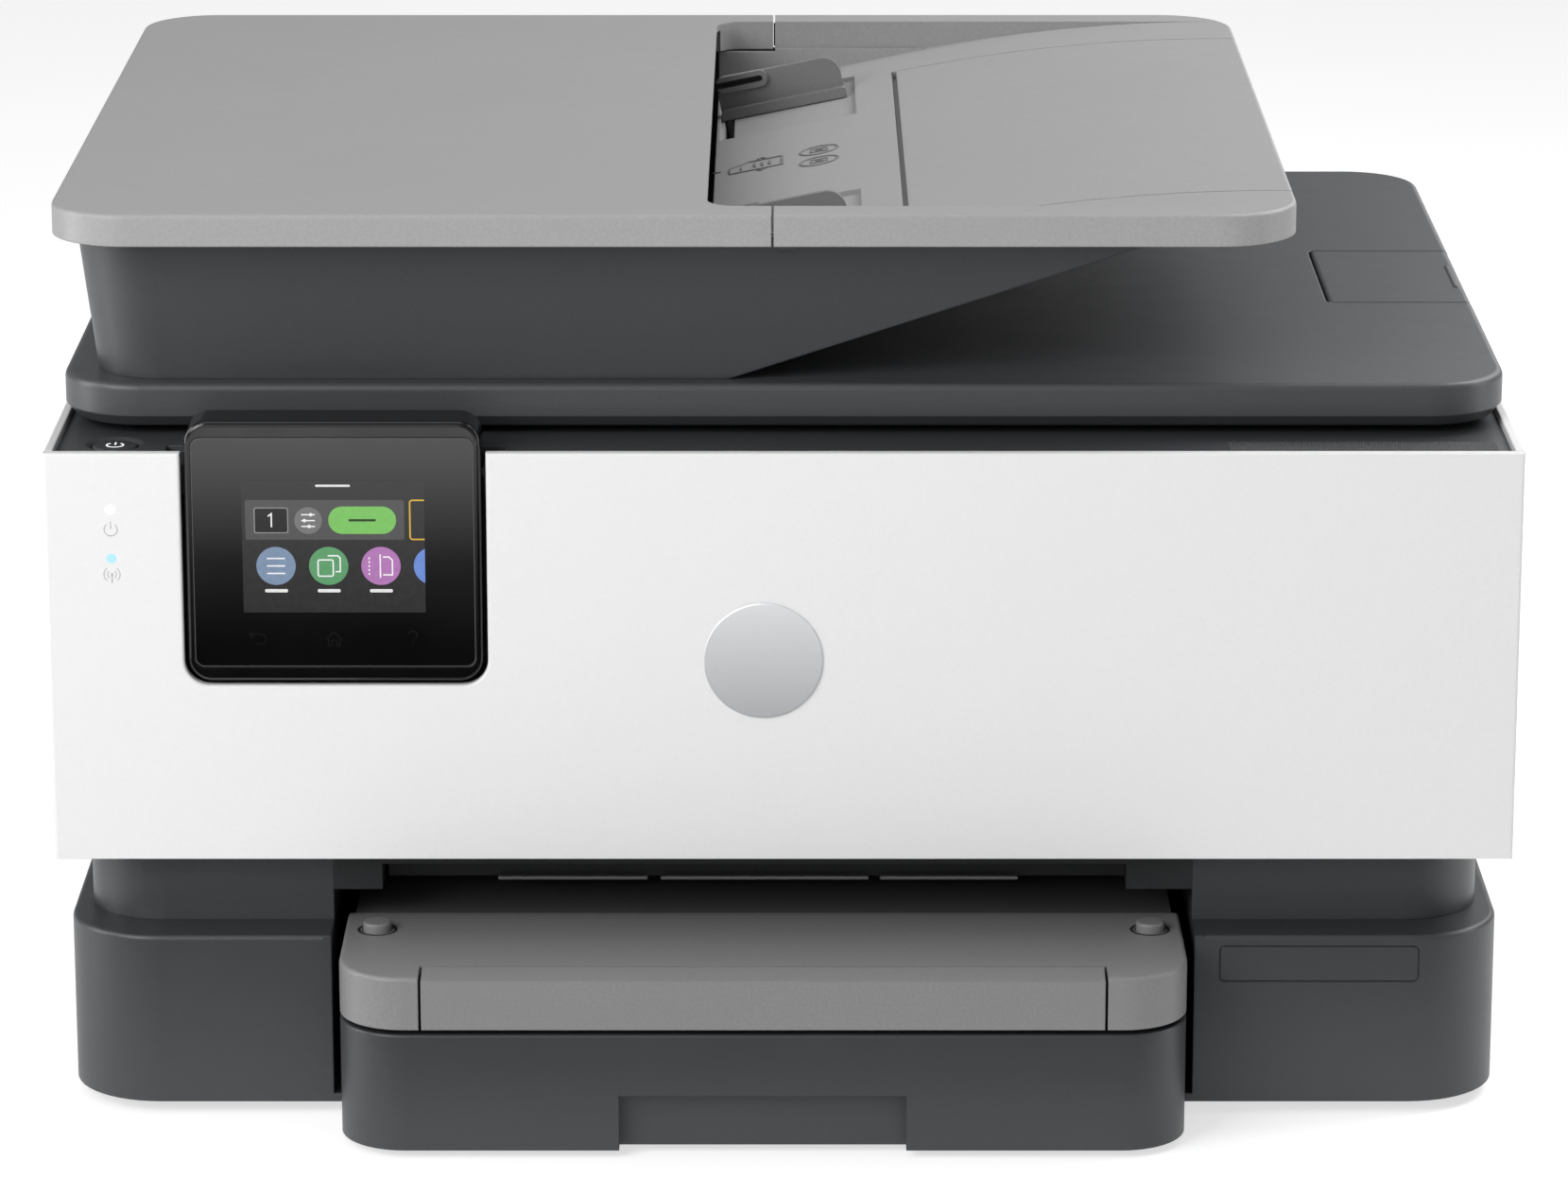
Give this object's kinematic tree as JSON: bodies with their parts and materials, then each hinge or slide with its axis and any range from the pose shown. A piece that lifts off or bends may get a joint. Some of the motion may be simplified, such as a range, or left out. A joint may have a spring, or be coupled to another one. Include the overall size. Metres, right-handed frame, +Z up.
{
  "type": "inkjet all-in-one printer",
  "caption": "Desktop all-in-one inkjet printer with document feeder, tilting touch panel, front door, input drawer and output tray with extender.",
  "frame": {"origin": "on the floor, below the middle of the printer's box", "axes": "+X to the right seen from the front, +Y to the back, +Z up"},
  "size_m": [0.439, 0.3922, 0.276],
  "materials": {
    "casing_dark": "fine grained",
    "panel_white": "fine grained",
    "plastic_grey": "fine grained",
    "plastic_black": "polished",
    "inner_black": "satin",
    "display_glass": "polished black glass with a screen behind it",
    "clear_glass": "clear",
    "rubber": "matt",
    "steel": "brushed",
    "emblem_metal": "brushed",
    "pad_foam": "soft white sheet",
    "frame_steel": "zinc plated",
    "circuit_board": "solder mask",
    "gear_plastic": "natural nylon",
    "ink_black": "satin",
    "ink_cyan": "satin",
    "ink_magenta": "satin",
    "ink_yellow": "satin"
  },
  "bodies": {
    "chassis": {"base_shell": "casing_dark", "neck_shell": "casing_dark", "side_panels": "panel_white", "rear_panel": "casing_dark", "front_frame": "inner_black", "top_deck": "casing_dark", "feet": "rubber", "case_screws": "steel", "platen_glass": "clear_glass", "scanner_tub": "inner_black", "lid_hinge_brackets": "inner_black", "output_fascia": "inner_black", "side_frames": "frame_steel", "carriage_rail": "frame_steel", "guide_rods": "steel", "carriage_belt": "rubber", "drive_motors": "steel", "paper_platen": "inner_black", "power_supply": "inner_black", "main_board": "circuit_board"},
    "front_door": {"front_door": "panel_white", "door_liner": "panel_white", "door_emblem": "emblem_metal"},
    "control_panel": {"panel_housing": "plastic_black", "panel_glass": "display_glass"},
    "power_button": {"power_button": "plastic_black"},
    "rear_door": {"rear_door": "casing_dark"},
    "lid": {"scanner_lid": "casing_dark", "lid_liner": "casing_dark", "lid_pad": "pad_foam", "feeder_body": "casing_dark"},
    "document_stop": {"document_stop": "casing_dark"},
    "feeder_cover": {"feeder_cover": "plastic_grey"},
    "feeder_tray": {"feeder_tray": "plastic_grey"},
    "feeder_extension": {"feeder_extension": "plastic_grey"},
    "feeder_guide_rear": {"feeder_guide_rear": "plastic_grey"},
    "feeder_guide_front": {"feeder_guide_front": "plastic_grey"},
    "feeder_guide_pinion": {"feeder_guide_pinion": "gear_plastic"},
    "feeder_pick_roller": {"feeder_pick_roller": "rubber"},
    "feeder_drive_roller": {"feeder_drive_roller": "rubber"},
    "input_drawer": {"input_drawer": "casing_dark"},
    "paper_guide_left": {"paper_guide_left": "casing_dark"},
    "paper_guide_right": {"paper_guide_right": "casing_dark"},
    "paper_guide_pinion": {"paper_guide_pinion": "gear_plastic"},
    "output_tray": {"output_tray": "plastic_grey", "output_ramp": "casing_dark"},
    "output_extender": {"output_extender": "plastic_grey"},
    "release_button_left": {"release_button_left": "plastic_grey"},
    "release_button_right": {"release_button_right": "plastic_grey"},
    "carriage": {"carriage": "inner_black"},
    "cartridge_black": {"cartridge_black": "ink_black"},
    "cartridge_cyan": {"cartridge_cyan": "ink_cyan"},
    "cartridge_magenta": {"cartridge_magenta": "ink_magenta"},
    "cartridge_yellow": {"cartridge_yellow": "ink_yellow"},
    "belt_pulley": {"belt_pulley": "gear_plastic"},
    "scan_bar": {"scan_bar": "inner_black"},
    "feed_roller": {"feed_roller": "rubber"},
    "exit_roller": {"exit_roller": "rubber"},
    "transfer_gear": {"transfer_gear": "gear_plastic"},
    "pick_roller": {"pick_roller": "rubber"}
  },
  "joints": [
    {"name": "front_door_hinge", "type": "hinge", "parent": "chassis", "child": "front_door", "pos_m": [0, -0.1505, 0.0815], "axis": [1, 0, 0], "range_deg": [0, 80]},
    {"name": "control_panel_tilt", "type": "hinge", "parent": "chassis", "child": "control_panel", "pos_m": [-0.1338, -0.148, 0.199], "axis": [-1, 0, 0], "range_deg": [0, 30]},
    {"name": "power_button_press", "type": "slide", "parent": "chassis", "child": "power_button", "axis": [0, 0, -1], "range_m": [0, 0.0012], "stiffness_N_per_m": 400},
    {"name": "rear_door_hinge", "type": "hinge", "parent": "chassis", "child": "rear_door", "pos_m": [0, 0.1936, 0.089], "axis": [-1, 0, 0], "range_deg": [0, 75]},
    {"name": "lid_hinge", "type": "hinge", "parent": "chassis", "child": "lid", "pos_m": [0, 0.1834, 0.212], "axis": [-1, 0, 0], "range_deg": [0, 65]},
    {"name": "document_stop_hinge", "type": "hinge", "parent": "lid", "child": "document_stop", "pos_m": [0.174, 0.02025, 0.22], "axis": [0, -1, 0], "range_deg": [0, 90]},
    {"name": "feeder_cover_hinge", "type": "hinge", "parent": "lid", "child": "feeder_cover", "pos_m": [-0.2065, 0.025, 0.262], "axis": [0, -1, 0], "range_deg": [0, 75]},
    {"name": "feeder_tray_hinge", "type": "hinge", "parent": "lid", "child": "feeder_tray", "pos_m": [-0.00155, 0.025, 0.2738], "axis": [0, -1, 0], "range_deg": [0, 20]},
    {"name": "feeder_extension_hinge", "type": "hinge", "parent": "feeder_tray", "child": "feeder_extension", "pos_m": [0.151, 0.0191, 0.2746], "axis": [0, 1, 0], "range_deg": [0, 175]},
    {"name": "feeder_guide_rear_slide", "type": "slide", "parent": "feeder_tray", "child": "feeder_guide_rear", "axis": [0, -1, 0], "range_m": [0, 0.034]},
    {"name": "feeder_guide_front_slide", "type": "slide", "parent": "feeder_tray", "child": "feeder_guide_front", "axis": [0, 1, 0], "range_m": [0, 0.034]},
    {"name": "feeder_guide_pinion_spin", "type": "hinge", "parent": "feeder_tray", "child": "feeder_guide_pinion", "pos_m": [0.00143, 0.0191, 0.24905], "axis": [-0.2, 0, 0.9798], "range_deg": [0, 260]},
    {"name": "feeder_pick_roller_spin", "type": "hinge", "parent": "lid", "child": "feeder_pick_roller", "pos_m": [-0.048, 0.0191, 0.252], "axis": [0, 1, 0], "continuous": true},
    {"name": "feeder_drive_roller_spin", "type": "hinge", "parent": "lid", "child": "feeder_drive_roller", "pos_m": [-0.12, 0.0191, 0.245], "axis": [0, 1, 0], "continuous": true},
    {"name": "input_drawer_slide", "type": "slide", "parent": "chassis", "child": "input_drawer", "axis": [0, -1, 0], "range_m": [0, 0.23]},
    {"name": "paper_guide_left_slide", "type": "slide", "parent": "input_drawer", "child": "paper_guide_left", "axis": [1, 0, 0], "range_m": [0, 0.06]},
    {"name": "paper_guide_right_slide", "type": "slide", "parent": "input_drawer", "child": "paper_guide_right", "axis": [-1, 0, 0], "range_m": [0, 0.06]},
    {"name": "paper_guide_pinion_spin", "type": "hinge", "parent": "input_drawer", "child": "paper_guide_pinion", "pos_m": [-0.00625, -0.04, 0.0112], "axis": [0, 0, -1], "range_deg": [0, 460]},
    {"name": "output_tray_slide", "type": "slide", "parent": "chassis", "child": "output_tray", "axis": [0, -1, 0], "range_m": [0, 0.09]},
    {"name": "output_extender_slide", "type": "slide", "parent": "output_tray", "child": "output_extender", "axis": [0, -1, 0], "range_m": [0, 0.09]},
    {"name": "release_button_left_press", "type": "slide", "parent": "output_tray", "child": "release_button_left", "axis": [0, 0, -1], "range_m": [0, 0.0015], "stiffness_N_per_m": 400},
    {"name": "release_button_right_press", "type": "slide", "parent": "output_tray", "child": "release_button_right", "axis": [0, 0, -1], "range_m": [0, 0.0015], "stiffness_N_per_m": 400},
    {"name": "carriage_slide", "type": "slide", "parent": "chassis", "child": "carriage", "axis": [-1, 0, 0], "range_m": [0, 0.29]},
    {"name": "cartridge_black_slide", "type": "slide", "parent": "carriage", "child": "cartridge_black", "axis": [0, -1, 0], "range_m": [0, 0.026]},
    {"name": "cartridge_cyan_slide", "type": "slide", "parent": "carriage", "child": "cartridge_cyan", "axis": [0, -1, 0], "range_m": [0, 0.026]},
    {"name": "cartridge_magenta_slide", "type": "slide", "parent": "carriage", "child": "cartridge_magenta", "axis": [0, -1, 0], "range_m": [0, 0.026]},
    {"name": "cartridge_yellow_slide", "type": "slide", "parent": "carriage", "child": "cartridge_yellow", "axis": [0, -1, 0], "range_m": [0, 0.026]},
    {"name": "belt_pulley_spin", "type": "hinge", "parent": "chassis", "child": "belt_pulley", "pos_m": [-0.182, -0.0265, 0.146], "axis": [0, 1, 0], "continuous": true},
    {"name": "scan_bar_slide", "type": "slide", "parent": "chassis", "child": "scan_bar", "axis": [1, 0, 0], "range_m": [0, 0.285]},
    {"name": "feed_roller_spin", "type": "hinge", "parent": "chassis", "child": "feed_roller", "pos_m": [0, -0.032, 0.075], "axis": [1, 0, 0], "continuous": true},
    {"name": "transfer_gear_spin", "type": "hinge", "parent": "chassis", "child": "transfer_gear", "pos_m": [-0.199, -0.082, 0.075], "axis": [1, 0, 0], "continuous": true},
    {"name": "exit_roller_spin", "type": "hinge", "parent": "chassis", "child": "exit_roller", "pos_m": [0, -0.124, 0.075], "axis": [1, 0, 0], "continuous": true},
    {"name": "pick_roller_spin", "type": "hinge", "parent": "chassis", "child": "pick_roller", "pos_m": [0, 0.07, 0.062], "axis": [1, 0, 0], "continuous": true}
  ],
  "couplings": [
    {"joint": "feeder_guide_front_slide", "follows": "feeder_guide_rear_slide", "ratio": 1},
    {"joint": "feeder_guide_pinion_spin", "follows": "feeder_guide_rear_slide", "rad_per_m": 133.33},
    {"joint": "paper_guide_right_slide", "follows": "paper_guide_left_slide", "ratio": 1},
    {"joint": "paper_guide_pinion_spin", "follows": "paper_guide_left_slide", "rad_per_m": 133.33},
    {"joint": "belt_pulley_spin", "follows": "carriage_slide", "rad_per_m": 161.29},
    {"joint": "transfer_gear_spin", "follows": "feed_roller_spin", "ratio": -0.66667},
    {"joint": "exit_roller_spin", "follows": "feed_roller_spin", "ratio": 1.6667}
  ]
}
